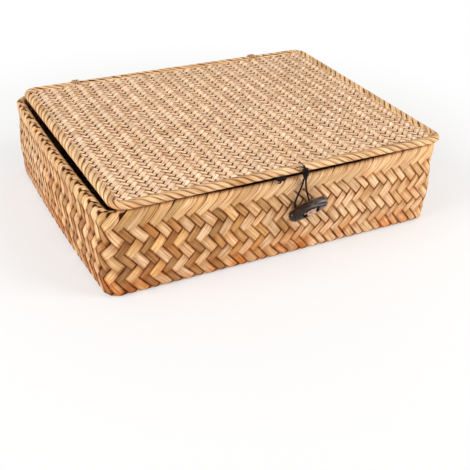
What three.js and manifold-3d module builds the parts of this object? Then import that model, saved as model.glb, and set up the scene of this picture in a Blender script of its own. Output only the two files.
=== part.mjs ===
// A plaited seagrass keepsake box: a shallow tub and a flat hinged lid, each of two plaited layers
// whose edges are bound over a wire, closed at the front by a cord loop and a wooden toggle.
// Units are millimetres. X runs along the front, Y to the back, Z up from the table.
import * as THREE from 'three';
import { mergeVertices } from 'three/addons/utils/BufferGeometryUtils.js';
import Module from 'manifold-3d';

const wasm = await Module();
wasm.setup();

// Running gap between pieces that touch, and how far every cut runs past the piece that it cuts.
const gap = 0.3;
const overrun = 2;

// Tub: size over the rim, how far the walls draw in at the foot and swell between, and how far the
// two short sides bow outwards.
const bodyLength = 340;
const bodyDepth = 268;
const bodyHeight = 84;
const bodyCornerRadius = 14;
const bodyFootDrawIn = 2;
const bodyFootRadius = 5;
const wallSwell = 2.2;
const sideBow = 3;

// Thickness of the plaited layers, the folded bindings and the rim wires.
const bodyShellThickness = 2.4;
const bodyLiningThickness = 1.8;
const bodyBindingThickness = 1.5;
const bodyBandHeight = 11;
const bodyWireRadius = 1.5;
const lidPanelThickness = 2;
const lidLiningThickness = 1.5;
const lidBindingThickness = 1.4;
const lidBandWidth = 7.2;
const lidWireRadius = 1.2;

// Lid: how far its rim stands out past the tub's at the front and back, stays inside it at the sides,
// and how far the whole lid sits to the right.
const lidFrontOverhang = 1;
const lidRearOverhang = 0;
const lidSideInset = 2;
const lidShiftRight = 6;
const lidCornerRadius = 14;

// Cords: the lashings that hinge the lid, the stitch and loop that close it, and their clearances.
const lashingCordRadius = 0.75;
const lashingTurns = 3;
const lashingPitch = 2.4;
const lashingPlaceShare = 0.62;
const lashingKnotRadius = 1.3;
const lashingKnotDrop = 6;
const loopCordRadius = 0.75;
const stitchCordRadius = 0.6;
const slotClearance = 0.4;

// Toggle: a wooden bar with two holes, held by a band of grass that goes through both of them.
const toggleLength = 41;
const toggleRadius = 6.5;
const toggleEndRadius = 5.4;
const toggleEndRounding = 3;
const toggleHoleRadius = 2.5;
const toggleHoleSpacing = 12.8;
const toggleX = 17.8;
const toggleDrop = 31.6;
const toggleStandOff = 4;
const toggleTilt = THREE.MathUtils.degToRad(15.2);
const tieLegRadius = 1.5;
const tieShankRadius = 1.6;
const tieFrontThickness = 1.1;
const tieRearThickness = 1;
const tieBandHeight = 8;
const tieKnotRadius = 2.6;

// Knots on the lid's and the tub's front rims, and the cord ends that stand out of the first.
const loopKnotSize = { x: 2.9, y: 2.2, z: 5.3 };
const loopKnotX = 16.4;
const loopKnotDrop = 2.3;
const stitchLean = 1.4;
const tailCordRadius = 0.5;
const rimKnotSize = { x: 5, y: 2.2, z: 2.5 };
const rimKnotX = -7.6;
const rimKnotDrop = 2;
const rimKnotCordRadius = 0.75;
const rimKnotStopperRadius = 1.7;

// The loop's route, chosen by hand: down from the knot, round behind the toggle and back up. Each
// point is its place along the front, how far out from it and how far below the tub's rim it lies.
const loopRoute = [
  [15.3, 2.4, 4.3],
  [14.9, 2, 9],
  [13.3, 1.6, 15],
  [11, 1.3, 21.5],
  [9.3, 1.1, 27],
  [9.6, 1.1, 33],
  [12.6, 1.1, 37.1],
  [17, 1.1, 38.6],
  [21.7, 1.1, 37.6],
  [24.5, 1.1, 33.8],
  [23.8, 1.1, 28],
  [21.8, 1.3, 23],
  [19.9, 1.6, 17],
  [18.5, 2, 11],
  [17.6, 2.4, 4.3],
];

// How finely curves are divided.
const cornerSteps = 6;
const shortSideSteps = 6;
const longSideSteps = 2;
const foldSteps = 8;
const wallSteps = 7;
const footSteps = 4;
const wireSides = 8;
const cordSides = 8;
const roundSides = 24;
const ballSides = 14;
const stepsPerTurn = 20;

// Both halves follow a rounded rectangle: this is the outline that each ring of points is inset from.
const bodyOutline = {
  halfLength: bodyLength / 2,
  halfDepth: bodyDepth / 2,
  cornerRadius: bodyCornerRadius,
  bow: sideBow,
  centreX: 0,
  centreY: 0,
};
const lidFrontY = -bodyDepth / 2 - lidFrontOverhang;
const lidRearY = bodyDepth / 2 + lidRearOverhang;
const lidOutline = {
  halfLength: bodyLength / 2 - lidSideInset,
  halfDepth: (lidRearY - lidFrontY) / 2,
  cornerRadius: lidCornerRadius,
  bow: 0,
  centreX: lidShiftRight,
  centreY: (lidRearY + lidFrontY) / 2,
};

// One level ring round the outline, counter-clockwise from above, inset by the given distance.
function ringAt(outline, inset, z) {
  const halfLength = outline.halfLength - inset;
  const halfDepth = outline.halfDepth - inset;
  const radius = Math.max(outline.cornerRadius - inset, gap);
  const points = [];
  const sides = [
    { x: 1, y: -1, from: -Math.PI / 2, steps: shortSideSteps },
    { x: 1, y: 1, from: 0, steps: longSideSteps },
    { x: -1, y: 1, from: Math.PI / 2, steps: shortSideSteps },
    { x: -1, y: -1, from: Math.PI, steps: longSideSteps },
  ];
  const cornerPoint = (side, share) => {
    const angle = side.from + (share * Math.PI) / 2;
    return new THREE.Vector2(
      side.x * (halfLength - radius) + radius * Math.cos(angle),
      side.y * (halfDepth - radius) + radius * Math.sin(angle),
    );
  };
  sides.forEach((side, index) => {
    for (let step = 0; step <= cornerSteps; step += 1) {
      points.push(cornerPoint(side, step / cornerSteps));
    }
    const start = cornerPoint(side, 1);
    const end = cornerPoint(sides[(index + 1) % sides.length], 0);
    for (let step = 1; step < side.steps; step += 1) {
      points.push(start.clone().lerp(end, step / side.steps));
    }
  });
  return points.map((point) => {
    const swell = (outline.bow / halfLength) * (1 - (point.y / halfDepth) ** 2);
    return new THREE.Vector3(point.x * (1 + swell) + outline.centreX, point.y + outline.centreY, z);
  });
}

// A closed solid from a section of [inset, height] pairs swept round an outline. The section runs up
// its outer side and down its inner one. A ring section closes on itself; a tub's two ends are capped.
function sweepRound(outline, section, closed) {
  const rings = section.map(([inset, z]) => ringAt(outline, inset, z));
  const count = rings[0].length;
  const positions = rings.flat().flatMap((point) => point.toArray());
  const indices = [];
  const bands = closed ? rings.length : rings.length - 1;
  for (let band = 0; band < bands; band += 1) {
    const low = band * count;
    const high = ((band + 1) % rings.length) * count;
    for (let step = 0; step < count; step += 1) {
      const next = (step + 1) % count;
      indices.push(low + step, low + next, high + next, low + step, high + next, high + step);
    }
  }
  if (!closed) {
    const last = (rings.length - 1) * count;
    const lowCentre = rings.length * count;
    positions.push(outline.centreX, outline.centreY, section[0][1]);
    positions.push(outline.centreX, outline.centreY, section[section.length - 1][1]);
    for (let step = 0; step < count; step += 1) {
      const next = (step + 1) % count;
      indices.push(lowCentre, next, step, lowCentre + 1, last + step, last + next);
    }
  }
  const geometry = new THREE.BufferGeometry();
  geometry.setAttribute('position', new THREE.Float32BufferAttribute(positions, 3));
  geometry.setIndex(indices);
  return geometry;
}

// Points of an arc in [inset, height] pairs, from one angle to another.
function arcSection(inset, height, radius, from, to, steps) {
  const points = [];
  for (let step = 0; step <= steps; step += 1) {
    const angle = from + ((to - from) * step) / steps;
    points.push([inset - radius * Math.cos(angle), height + radius * Math.sin(angle)]);
  }
  return points;
}

// Solids for cutting and joining, and back to geometry.
function toSolid(geometry) {
  const bare = geometry.clone();
  bare.deleteAttribute('normal');
  bare.deleteAttribute('uv');
  const merged = mergeVertices(bare);
  const corners = merged.index.array;
  const kept = [];
  for (let start = 0; start < corners.length; start += 3) {
    const [a, b, c] = [corners[start], corners[start + 1], corners[start + 2]];
    if (a !== b && b !== c && c !== a) kept.push(a, b, c);
  }
  return new wasm.Manifold(new wasm.Mesh({
    numProp: 3,
    vertProperties: new Float32Array(merged.attributes.position.array),
    triVerts: new Uint32Array(kept),
  }));
}

function toGeometry(solid) {
  const mesh = solid.getMesh();
  const geometry = new THREE.BufferGeometry();
  geometry.setAttribute('position', new THREE.Float32BufferAttribute(mesh.vertProperties, 3));
  geometry.setIndex(new THREE.BufferAttribute(mesh.triVerts, 1));
  geometry.computeVertexNormals();
  return geometry;
}

function at(x, y, z) {
  return new THREE.Vector3(x, y, z);
}

// A box between two corners, a round bar between two points, a ball and a tube along a curve.
function boxBetween(low, high) {
  const size = high.clone().sub(low);
  const geometry = new THREE.BoxGeometry(size.x, size.y, size.z);
  geometry.translate(...low.clone().add(high).multiplyScalar(0.5).toArray());
  return toSolid(geometry);
}

function barBetween(start, end, radius) {
  const along = end.clone().sub(start);
  const geometry = new THREE.CylinderGeometry(radius, radius, along.length(), roundSides);
  const direction = along.clone().normalize();
  geometry.applyQuaternion(new THREE.Quaternion().setFromUnitVectors(at(0, 1, 0), direction));
  geometry.translate(...start.clone().add(end).multiplyScalar(0.5).toArray());
  return toSolid(geometry);
}

function ballAt(centre, radii) {
  const geometry = new THREE.SphereGeometry(1, ballSides, ballSides / 2);
  geometry.scale(radii.x, radii.y, radii.z);
  geometry.translate(centre.x, centre.y, centre.z);
  return toSolid(geometry);
}

function evenBall(centre, radius) {
  return ballAt(centre, { x: radius, y: radius, z: radius });
}

function tubeAlong(curve, radius, steps) {
  const section = new THREE.Shape();
  for (let side = 0; side < cordSides; side += 1) {
    const angle = (2 * Math.PI * side) / cordSides;
    const place = [radius * Math.cos(angle), radius * Math.sin(angle)];
    if (side === 0) section.moveTo(...place);
    else section.lineTo(...place);
  }
  section.closePath();
  return new THREE.ExtrudeGeometry(section, { steps, extrudePath: curve, bevelEnabled: false });
}

// Tub walls. Under the binding they stand upright; below it they swell and draw in to the foot.
const bodyRimRadius = (2 * bodyBindingThickness + bodyShellThickness + bodyLiningThickness + 3 * gap) / 2;
const bodyRimCentreZ = bodyHeight - bodyRimRadius;
const bodyWireZ = bodyHeight - bodyBindingThickness - gap - bodyWireRadius;
const bodyWallTop = bodyWireZ - bodyWireRadius - gap;
const bodyBandFoot = bodyHeight - bodyBandHeight;
const wallInset = bodyBindingThickness + gap;

function wallInsetAt(z) {
  const share = THREE.MathUtils.clamp(z / bodyBandFoot, 0, 1);
  const drawnIn = THREE.MathUtils.lerp(bodyFootDrawIn, wallInset, share);
  return drawnIn - wallSwell * Math.sin(Math.PI * share) ** 2;
}

// One layer of the tub: skin is how far its outer face lies inside the tub's own face.
function tubLayer(skin, thickness) {
  const section = [];
  const footRadius = bodyFootRadius - skin;
  const innerRadius = footRadius - thickness;
  const floorZ = skin + thickness;
  const footInset = wallInsetAt(bodyFootRadius) + bodyFootRadius;
  section.push(...arcSection(footInset, bodyFootRadius, footRadius, -Math.PI / 2, 0, footSteps));
  const wallHeights = [];
  for (let step = 1; step <= wallSteps; step += 1) {
    wallHeights.push(THREE.MathUtils.lerp(bodyFootRadius, bodyBandFoot, step / wallSteps));
  }
  wallHeights.push(bodyWallTop);
  wallHeights.forEach((z) => section.push([wallInsetAt(z) + skin, z]));
  wallHeights.reverse().forEach((z) => section.push([wallInsetAt(z) + floorZ, z]));
  if (innerRadius > gap) {
    section.push(...arcSection(footInset, bodyFootRadius, innerRadius, 0, -Math.PI / 2, footSteps));
  } else {
    section.push([wallInsetAt(floorZ) + floorZ, floorZ]);
  }
  return sweepRound(bodyOutline, section, false);
}

// A wire ring inside a rim.
function wireRing(outline, inset, z, radius) {
  const section = arcSection(inset, z, radius, -Math.PI / 2, 1.5 * Math.PI, wireSides);
  section.pop();
  return sweepRound(outline, section, true);
}

// The tub's binding: a strip folded over the wire and down both faces of the wall.
function bodyBinding() {
  const inner = bodyRimRadius - bodyBindingThickness;
  const section = [
    [0, bodyBandFoot],
    ...arcSection(bodyRimRadius, bodyRimCentreZ, bodyRimRadius, 0, Math.PI, foldSteps),
    [2 * bodyRimRadius, bodyBandFoot],
    [2 * bodyRimRadius - bodyBindingThickness, bodyBandFoot],
    ...arcSection(bodyRimRadius, bodyRimCentreZ, inner, Math.PI, 0, foldSteps),
    [bodyBindingThickness, bodyBandFoot],
  ];
  return sweepRound(bodyOutline, section, true);
}

// Lid: the underside of its rim rests on the tub's rim. Heights work up from there.
const lidFoot = bodyHeight + gap;
const lidRimRadius = lidBindingThickness + (lidPanelThickness + lidLiningThickness + 3 * gap) / 2;
const lidRimCentreZ = lidFoot + lidRimRadius;
const lidTop = lidFoot + 2 * lidRimRadius;
const lidLiningFoot = lidFoot + lidBindingThickness + gap;
const lidPanelFoot = lidLiningFoot + lidLiningThickness + gap;
const lidWireInset = lidBindingThickness + gap + lidWireRadius;
const lidLayerInset = lidWireInset + lidWireRadius + gap;

function lidLayer(foot, thickness) {
  return sweepRound(lidOutline, [[lidLayerInset, foot], [lidLayerInset, foot + thickness]], false);
}

// The lid's binding: the same fold laid on its side, open towards the middle of the lid.
function lidBinding() {
  const inner = lidRimRadius - lidBindingThickness;
  const section = [
    ...arcSection(lidRimRadius, lidRimCentreZ, lidRimRadius, -Math.PI / 2, Math.PI / 2, foldSteps),
    [lidBandWidth, lidTop],
    [lidBandWidth, lidTop - lidBindingThickness],
    ...arcSection(lidRimRadius, lidRimCentreZ, inner, Math.PI / 2, -Math.PI / 2, foldSteps),
    [lidBandWidth, lidFoot + lidBindingThickness],
    [lidBandWidth, lidFoot],
  ];
  return sweepRound(lidOutline, section, true);
}

// Hinge: the lid turns on its own rear rim, lashed to the tub's rear rim by two windings of cord.
const hingeY = lidRearY - lidRimRadius;
const hingeZ = lidRimCentreZ;
const lashingY = bodyDepth / 2 - bodyRimRadius;
const hingeOffset = Math.abs(hingeY - lashingY);
const lashingInnerRadius = Math.max(bodyRimRadius, lidRimRadius + hingeOffset) + gap;
const lashingRadius = lashingInnerRadius + lashingCordRadius;
const lashingSpan = lashingTurns * lashingPitch;
const lashingOffset = (bodyLength / 2) * lashingPlaceShare;
const lashingPlaces = [-lashingOffset, lashingOffset];
const lashingKnotZ = bodyHeight - lashingKnotDrop;

// The winding's route: a racetrack round both rims that steps along X, starting inside the tub.
class LashingCurve extends THREE.Curve {
  constructor(centreX) {
    super();
    this.centreX = centreX;
    this.straight = hingeZ - bodyBandFoot;
    this.halfRound = Math.PI * lashingRadius;
    this.lap = 2 * (this.straight + this.halfRound);
  }

  getPoint(share) {
    const turned = share * lashingTurns;
    const x = this.centreX - lashingSpan / 2 + turned * lashingPitch;
    const travelled = (hingeZ - lashingKnotZ + turned * this.lap) % this.lap;
    if (travelled < this.straight) {
      return at(x, lashingY - lashingRadius, hingeZ - travelled);
    }
    const underRound = travelled - this.straight;
    if (underRound < this.halfRound) {
      const angle = underRound / lashingRadius;
      const drop = lashingRadius * Math.sin(angle);
      return at(x, lashingY - lashingRadius * Math.cos(angle), bodyBandFoot - drop);
    }
    const upRear = underRound - this.halfRound;
    if (upRear < this.straight) {
      return at(x, lashingY + lashingRadius, bodyBandFoot + upRear);
    }
    const angle = (upRear - this.straight) / lashingRadius;
    return at(x, lashingY + lashingRadius * Math.cos(angle), hingeZ + lashingRadius * Math.sin(angle));
  }
}

// The least gap between points of a winding that lie half a lap or more apart along it.
function leastOwnGap(curve, radius) {
  const count = lashingTurns * stepsPerTurn;
  const points = curve.getSpacedPoints(count);
  let least = Infinity;
  points.forEach((point, index) => {
    for (let other = index + stepsPerTurn / 2; other <= count; other += 1) {
      least = Math.min(least, point.distanceTo(points[other]));
    }
  });
  return least - 2 * radius;
}

function lashing(centreX) {
  const curve = new LashingCurve(centreX);
  console.log('lashing: least gap to itself', leastOwnGap(curve, lashingCordRadius).toFixed(2), 'mm');
  const knotY = lashingY - lashingRadius - lashingCordRadius / 2;
  return toSolid(tubeAlong(curve, lashingCordRadius, lashingTurns * stepsPerTurn))
    .add(evenBall(at(centreX - lashingSpan / 2, knotY, lashingKnotZ), lashingKnotRadius))
    .add(evenBall(at(centreX + lashingSpan / 2, knotY, lashingKnotZ), lashingKnotRadius));
}

// Gaps between strips that a lashing passes through: in the tub's wall, in the lid's layers, and
// where the lid's fold is drawn in under the cord so that it clears the cord at every angle.
function lashingCuts(centreX) {
  const left = centreX - lashingSpan / 2 - lashingCordRadius - slotClearance;
  const right = centreX + lashingSpan / 2 + lashingCordRadius + slotClearance;
  const low = lidFoot - overrun;
  const high = lidTop + overrun;
  const wallReach = bodyRimRadius - wallInset;
  const cordReach = lashingCordRadius + slotClearance;
  const wallDrop = Math.sqrt(lashingRadius ** 2 - wallReach ** 2);
  const nearReach = lashingInnerRadius - hingeOffset - gap / 2;
  const farReach = lashingRadius + hingeOffset + cordReach;
  const layerReach = lidRimRadius - lidBindingThickness - gap;
  const foldKept = Math.sqrt(nearReach ** 2 - lidRimRadius ** 2);
  const layerKept = Math.sqrt(nearReach ** 2 - layerReach ** 2);
  return {
    wall: boxBetween(
      at(left, lashingY - wallReach - overrun, bodyBandFoot - lashingRadius - cordReach),
      at(right, lashingY + wallReach + overrun, bodyBandFoot - wallDrop + cordReach),
    ),
    fold: boxBetween(at(left, hingeY - lidBandWidth, low), at(right, hingeY - foldKept, high)),
    layers: boxBetween(at(left, hingeY - farReach, low), at(right, hingeY - layerKept, high)),
  };
}

// Toggle: its axis leans up to the right, and its back stands off the wall so that the loop fits.
const toggleZ = bodyHeight - toggleDrop;
const wallFaceY = -bodyDepth / 2 + wallInsetAt(toggleZ);
const toggleCentre = at(toggleX, wallFaceY - toggleStandOff - toggleRadius, toggleZ);
const toggleAlong = at(Math.cos(toggleTilt), 0, Math.sin(toggleTilt));
const toggleFrontY = toggleCentre.y - toggleRadius;
const toggleBackY = toggleCentre.y + toggleRadius;

function toggleBar() {
  const half = toggleLength / 2;
  const barrel = half - toggleEndRounding;
  const profile = [new THREE.Vector2(0, -half)];
  const endPoint = (share) => {
    const angle = (share * Math.PI) / 2;
    return new THREE.Vector2(
      toggleEndRadius - toggleEndRounding * (1 - Math.sin(angle)),
      barrel + toggleEndRounding * Math.cos(angle),
    );
  };
  for (let step = 0; step <= footSteps; step += 1) {
    const point = endPoint(step / footSteps);
    profile.push(new THREE.Vector2(point.x, -point.y));
  }
  for (let step = 1; step < foldSteps; step += 1) {
    const share = (2 * step) / foldSteps - 1;
    const radius = toggleRadius - (toggleRadius - toggleEndRadius) * share ** 2;
    profile.push(new THREE.Vector2(radius, barrel * share));
  }
  for (let step = footSteps; step >= 0; step -= 1) profile.push(endPoint(step / footSteps));
  profile.push(new THREE.Vector2(0, half));
  const geometry = new THREE.LatheGeometry(profile, roundSides);
  geometry.applyQuaternion(new THREE.Quaternion().setFromUnitVectors(at(0, 1, 0), toggleAlong));
  geometry.translate(...toggleCentre.toArray());
  return toSolid(geometry);
}

// A bar that runs front to back at a place along the toggle's axis.
function barThroughToggle(along, frontY, backY, radius) {
  const place = toggleCentre.clone().addScaledVector(toggleAlong, along);
  return barBetween(at(place.x, frontY, place.z), at(place.x, backY, place.z), radius);
}

function toggleHole(side) {
  const along = (side * toggleHoleSpacing) / 2;
  return barThroughToggle(along, toggleFrontY - overrun, toggleBackY + overrun, toggleHoleRadius);
}

// The grass band that holds the toggle: across its front, through both holes, joined behind it, and
// from there one shank through the wall to a knot inside.
const tieLegAlong = toggleHoleSpacing / 2 - (toggleHoleRadius - tieLegRadius - gap);
const tieHalfLength = tieLegAlong + tieLegRadius;
const wallInnerY = wallFaceY + bodyShellThickness + gap + bodyLiningThickness;
const tieKnotY = wallInnerY + gap + tieKnotRadius;

function turnedToToggle(geometry) {
  geometry.rotateY(-toggleTilt);
  geometry.translate(...toggleCentre.toArray());
  return toSolid(geometry);
}

function frontBand() {
  const inner = toggleRadius + gap;
  const outer = inner + tieFrontThickness;
  const halfAngle = Math.asin(tieBandHeight / 2 / outer);
  const section = new THREE.Shape();
  section.absarc(0, 0, outer, -halfAngle, halfAngle, false);
  section.absarc(0, 0, inner, halfAngle, -halfAngle, true);
  const geometry = new THREE.ExtrudeGeometry(section, {
    depth: 2 * tieHalfLength,
    bevelEnabled: false,
    curveSegments: foldSteps,
  });
  geometry.translate(0, 0, -tieHalfLength);
  geometry.rotateZ(-Math.PI / 2);
  geometry.rotateY(Math.PI / 2);
  return turnedToToggle(geometry);
}

function toggleTie() {
  const rear = toggleBackY + gap + tieRearThickness;
  const plate = new THREE.BoxGeometry(2 * tieHalfLength, tieRearThickness, 2 * tieLegRadius);
  plate.translate(0, toggleRadius + gap + tieRearThickness / 2, 0);
  const legFront = toggleFrontY - gap - tieFrontThickness / 2;
  const legRear = rear - tieRearThickness / 2;
  return frontBand()
    .add(barThroughToggle(-tieLegAlong, legFront, legRear, tieLegRadius))
    .add(barThroughToggle(tieLegAlong, legFront, legRear, tieLegRadius))
    .add(turnedToToggle(plate))
    .add(barThroughToggle(0, legRear, tieKnotY, tieShankRadius))
    .add(evenBall(at(toggleX, tieKnotY, toggleZ), tieKnotRadius));
}

const shankHoleRadius = tieShankRadius + slotClearance;
const shankHole = barThroughToggle(0, wallFaceY - overrun, wallInnerY + overrun, shankHoleRadius);

// Loop: one cord, both ends up in the knot.
function loopCord() {
  const places = loopRoute.map(([x, out, drop]) => at(x, -bodyDepth / 2 - out, bodyHeight - drop));
  const curve = new THREE.CatmullRomCurve3(places);
  return tubeAlong(curve, loopCordRadius, stepsPerTurn);
}

// The knot on the lid's front rim, with the stitch that holds it: under the rim, up between the
// strips behind the binding, and back over the top. Two cut ends stand out of it.
const loopKnot = at(loopKnotX, lidFrontY - gap - loopKnotSize.y, lidRimCentreZ - loopKnotDrop);
const stitchX = loopKnotX - stitchLean;
const stitchUnderZ = lidFoot + stitchCordRadius + gap / 2;
const stitchOverZ = lidTop + gap + stitchCordRadius;
const stitchRearY = lidFrontY + lidBandWidth + gap + stitchCordRadius;

function knotOnLid() {
  const rimY = lidFrontY + lidRimRadius;
  const stitch = new THREE.CatmullRomCurve3([
    at(stitchX, loopKnot.y, stitchUnderZ),
    at(stitchX, rimY, stitchUnderZ),
    at(stitchX, stitchRearY - stitchCordRadius, stitchUnderZ),
    at(stitchX, stitchRearY, stitchUnderZ + stitchCordRadius),
    at(stitchX, stitchRearY, lidTop - stitchCordRadius),
    at(stitchX, stitchRearY - stitchCordRadius, stitchOverZ),
    at(stitchX, rimY, stitchOverZ),
    at(stitchX, lidFrontY - stitchCordRadius, lidTop - stitchCordRadius),
    at(stitchX, loopKnot.y, lidRimCentreZ),
  ]);
  const upTail = new THREE.CatmullRomCurve3([
    loopKnot,
    at(stitchX, loopKnot.y, lidTop),
    at(stitchX - stitchLean, loopKnot.y, lidTop + loopKnotSize.x),
  ]);
  const sideTail = new THREE.CatmullRomCurve3([
    loopKnot,
    at(stitchX, loopKnot.y, lidTop - stitchLean),
    at(stitchX - loopKnotSize.z, loopKnot.y, lidTop + stitchLean),
    at(stitchX - 2 * loopKnotSize.z, loopKnot.y, lidTop + stitchLean),
  ]);
  return ballAt(loopKnot, loopKnotSize)
    .add(toSolid(tubeAlong(stitch, stitchCordRadius, stepsPerTurn)))
    .add(toSolid(tubeAlong(upTail, tailCordRadius, foldSteps)))
    .add(toSolid(tubeAlong(sideTail, tailCordRadius, foldSteps)));
}

// Where the stitch parts the strips: a notch under the lid's fold and a slot through both layers.
const stitchHalfWidth = stitchCordRadius + slotClearance;
const stitchNotch = boxBetween(
  at(stitchX - stitchHalfWidth, lidFrontY - overrun, lidFoot - overrun),
  at(stitchX + stitchHalfWidth, lidFrontY + lidBandWidth + overrun, stitchUnderZ + stitchHalfWidth),
);
const stitchSlot = boxBetween(
  at(stitchX - stitchHalfWidth, stitchRearY - stitchHalfWidth, lidFoot - overrun),
  at(stitchX + stitchHalfWidth, stitchRearY + stitchHalfWidth, lidTop + overrun),
);

// The knot on the tub's front rim: its cord runs under the wire and through to a stopper inside.
const rimKnotNeckZ = bodyWireZ - bodyWireRadius - gap - rimKnotCordRadius;
const rimKnot = at(rimKnotX, -bodyDepth / 2 - gap - rimKnotSize.y, bodyHeight - rimKnotDrop);
const rimInnerY = -bodyDepth / 2 + 2 * bodyRimRadius;
const rimKnotNotchRadius = rimKnotCordRadius + slotClearance;

function knotOnTub() {
  const elbow = at(rimKnotX, rimKnot.y, rimKnotNeckZ);
  const stopper = at(rimKnotX, rimInnerY + gap + rimKnotStopperRadius, rimKnotNeckZ);
  return ballAt(rimKnot, rimKnotSize)
    .add(barBetween(rimKnot, elbow, rimKnotCordRadius))
    .add(evenBall(elbow, rimKnotCordRadius))
    .add(barBetween(elbow, stopper, rimKnotCordRadius))
    .add(evenBall(stopper, rimKnotStopperRadius));
}

const rimKnotHole = barBetween(
  at(rimKnotX, -bodyDepth / 2 - overrun, rimKnotNeckZ),
  at(rimKnotX, rimInnerY + overrun, rimKnotNeckZ),
  rimKnotNotchRadius,
);
const rimKnotNotch = boxBetween(
  at(rimKnotX - rimKnotNotchRadius, -bodyDepth / 2, rimKnotNeckZ - rimKnotNotchRadius),
  at(rimKnotX + rimKnotNotchRadius, rimInnerY, bodyWallTop + overrun),
);

// Cuts put together by the pieces that they are made in.
const cuts = lashingPlaces.map(lashingCuts);

function cutFrom(geometry, tools) {
  return toGeometry(tools.reduce((solid, tool) => solid.subtract(tool), toSolid(geometry)));
}

const wallTools = [...cuts.map((cut) => cut.wall), shankHole, rimKnotNotch];
const layerTools = [...cuts.map((cut) => cut.layers), stitchSlot];
const foldTools = [...cuts.map((cut) => cut.fold), stitchNotch];

// Surfaces: honey-coloured seagrass, paler on the lid, dark waxed cord and dark polished wood.
const surfaces = {
  wallGrass: { color: 0xc99a5e, roughness: 0.6, metalness: 0 },
  liningGrass: { color: 0xbf9660, roughness: 0.7, metalness: 0 },
  foldGrass: { color: 0xc9a066, roughness: 0.6, metalness: 0 },
  lidGrass: { color: 0xd8b088, roughness: 0.6, metalness: 0 },
  tieGrass: { color: 0xd9b891, roughness: 0.7, metalness: 0 },
  wire: { color: 0x6d6a66, roughness: 0.45, metalness: 1 },
  waxedCord: { color: 0x1f1713, roughness: 0.6, metalness: 0 },
  toggleWood: { color: 0x33211a, roughness: 0.35, metalness: 0 },
};

function piece(name, surface, geometry) {
  const mesh = new THREE.Mesh(geometry, new THREE.MeshStandardMaterial(surfaces[surface]));
  mesh.name = name;
  return mesh;
}

const liningSkin = bodyShellThickness + gap;

const tub = new THREE.Group();
tub.add(
  piece('body_outer_shell', 'wallGrass', cutFrom(tubLayer(0, bodyShellThickness), wallTools)),
  piece('body_lining', 'liningGrass', cutFrom(tubLayer(liningSkin, bodyLiningThickness), wallTools)),
  piece('body_rim_wire', 'wire', wireRing(bodyOutline, bodyRimRadius, bodyWireZ, bodyWireRadius)),
  piece('body_rim_binding', 'foldGrass', cutFrom(bodyBinding(), [rimKnotHole])),
  piece('rim_knot', 'waxedCord', toGeometry(knotOnTub())),
  piece('hinge_lashing_left', 'waxedCord', toGeometry(lashing(lashingPlaces[0]))),
  piece('hinge_lashing_right', 'waxedCord', toGeometry(lashing(lashingPlaces[1]))),
);

const lid = new THREE.Group();
lid.add(
  piece('lid_panel', 'lidGrass', cutFrom(lidLayer(lidPanelFoot, lidPanelThickness), layerTools)),
  piece('lid_lining', 'liningGrass', cutFrom(lidLayer(lidLiningFoot, lidLiningThickness), layerTools)),
  piece('lid_rim_wire', 'wire', wireRing(lidOutline, lidWireInset, lidRimCentreZ, lidWireRadius)),
  piece('lid_rim_binding', 'foldGrass', cutFrom(lidBinding(), foldTools)),
  piece('loop_knot', 'waxedCord', toGeometry(knotOnLid())),
  piece('loop_cord', 'waxedCord', loopCord()),
);

const closure = new THREE.Group();
closure.add(
  piece('toggle', 'toggleWood', toGeometry(toggleBar().subtract(toggleHole(-1)).subtract(toggleHole(1)))),
  piece('toggle_tie', 'tieGrass', toGeometry(toggleTie())),
);

const box = new THREE.Group();
box.add(tub, lid, closure);

export default box;
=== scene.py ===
# A plaited seagrass keepsake box: a shallow tub and a flat lid lashed to it, closed by a cord loop
# over a wooden toggle. Metres; X runs along the front, Y towards the hinge, Z up from the table.
import math

import bmesh
import bpy
from mathutils import Matrix, Vector


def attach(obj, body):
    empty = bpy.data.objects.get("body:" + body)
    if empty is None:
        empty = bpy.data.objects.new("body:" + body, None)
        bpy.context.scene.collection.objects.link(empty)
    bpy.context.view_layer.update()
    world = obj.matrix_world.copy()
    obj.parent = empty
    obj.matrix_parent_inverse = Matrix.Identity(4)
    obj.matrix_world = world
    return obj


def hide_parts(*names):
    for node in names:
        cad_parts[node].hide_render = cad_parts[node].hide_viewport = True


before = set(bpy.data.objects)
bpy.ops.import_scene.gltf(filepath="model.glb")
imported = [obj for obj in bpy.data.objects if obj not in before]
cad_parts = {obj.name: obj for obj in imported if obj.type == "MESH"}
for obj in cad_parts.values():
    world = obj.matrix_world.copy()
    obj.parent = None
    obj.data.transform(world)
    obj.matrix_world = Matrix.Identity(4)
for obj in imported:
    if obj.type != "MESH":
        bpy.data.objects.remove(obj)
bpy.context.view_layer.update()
bpy.context.scene.view_settings.view_transform = "Standard"
mm = 0.001


# Camera: eye height above the front left corner, looking down on the lid and along the front.
# A long lens, so that the box's edges stay nearly parallel.
def added(name, data):
    """A new object in the scene."""
    made = bpy.data.objects.new(name, data)
    bpy.context.scene.collection.objects.link(made)
    return made


camera_data = bpy.data.cameras.new("camera")
camera_data.sensor_width = 36
camera_data.lens = 63.87
camera = added("camera", camera_data)
camera_place = (-0.3495, -0.6815, 0.4218)
camera_yaw, camera_pitch, camera_roll = (math.radians(turn) for turn in (28.67, 31.68, 2.36))
camera.matrix_world = (
    Matrix.Translation(camera_place)
    @ Matrix.Rotation(-camera_yaw, 4, "Z")
    @ Matrix.Rotation(math.pi / 2 - camera_pitch, 4, "X")
    @ Matrix.Rotation(camera_roll, 4, "Z")
)
bpy.context.scene.camera = camera


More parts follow.
